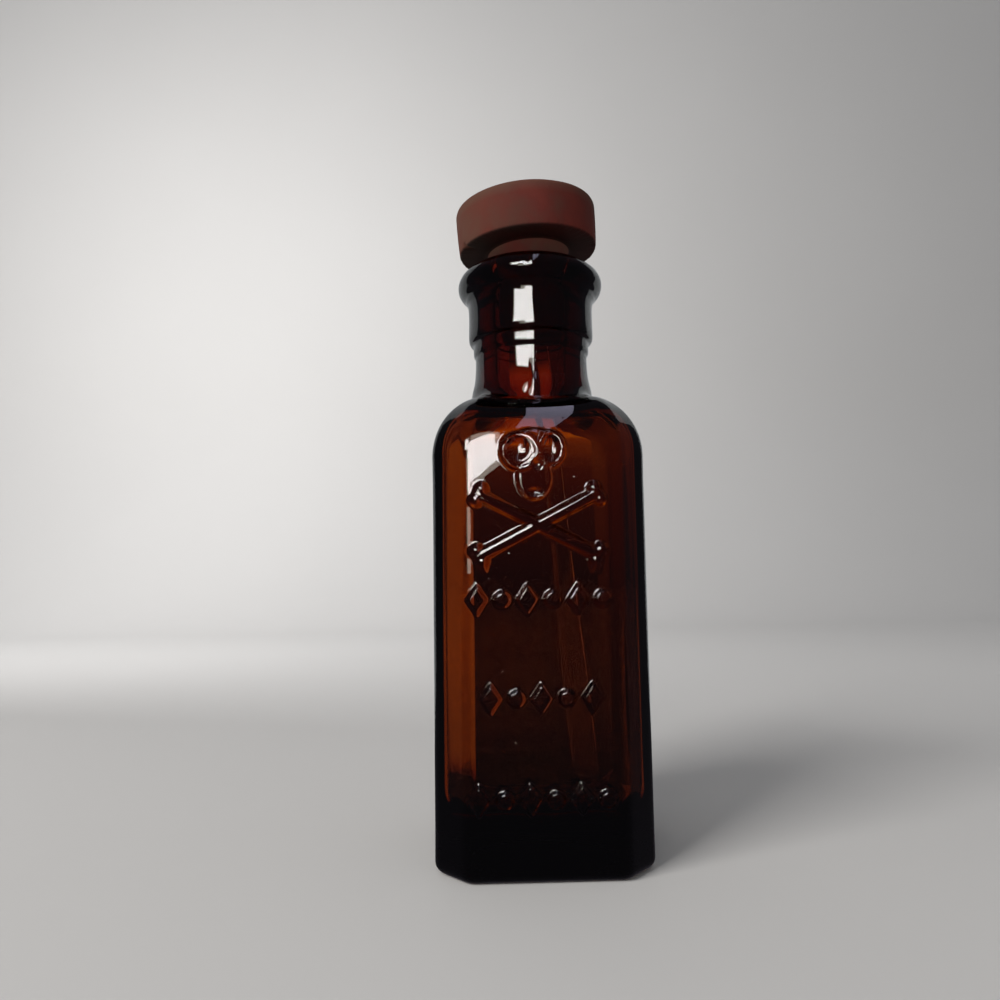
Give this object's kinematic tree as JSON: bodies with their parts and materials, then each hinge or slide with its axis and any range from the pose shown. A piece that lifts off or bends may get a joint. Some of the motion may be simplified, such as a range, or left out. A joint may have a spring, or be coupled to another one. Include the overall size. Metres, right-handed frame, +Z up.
{
  "type": "poison bottle",
  "caption": "Square amber glass poison bottle with a raised skull and crossed bones, and a rubber stopper that carries a glass applicator rod.",
  "frame": {"origin": "middle of the base, on the surface that the bottle stands on", "axes": "+Z up along the bottle, which is its longest extent; the raised skull faces -Y; +X is to the right of someone facing the skull"},
  "size_m": [0.024, 0.0246, 0.0784],
  "materials": {
    "amber_glass": "moulded, glossy, see-through amber",
    "red_rubber": "aged, matt, dusty",
    "rod_glass": "drawn, glossy, clear"
  },
  "bodies": {
    "bottle": {"bottle": "amber_glass"},
    "stopper": {"stopper": "red_rubber", "applicator_rod": "rod_glass"}
  },
  "joints": [
    {"name": "stopper_lift", "type": "slide", "parent": "bottle", "child": "stopper", "axis": [-0.0924, 0, 0.9957], "range_m": [0, 0.065]}
  ]
}
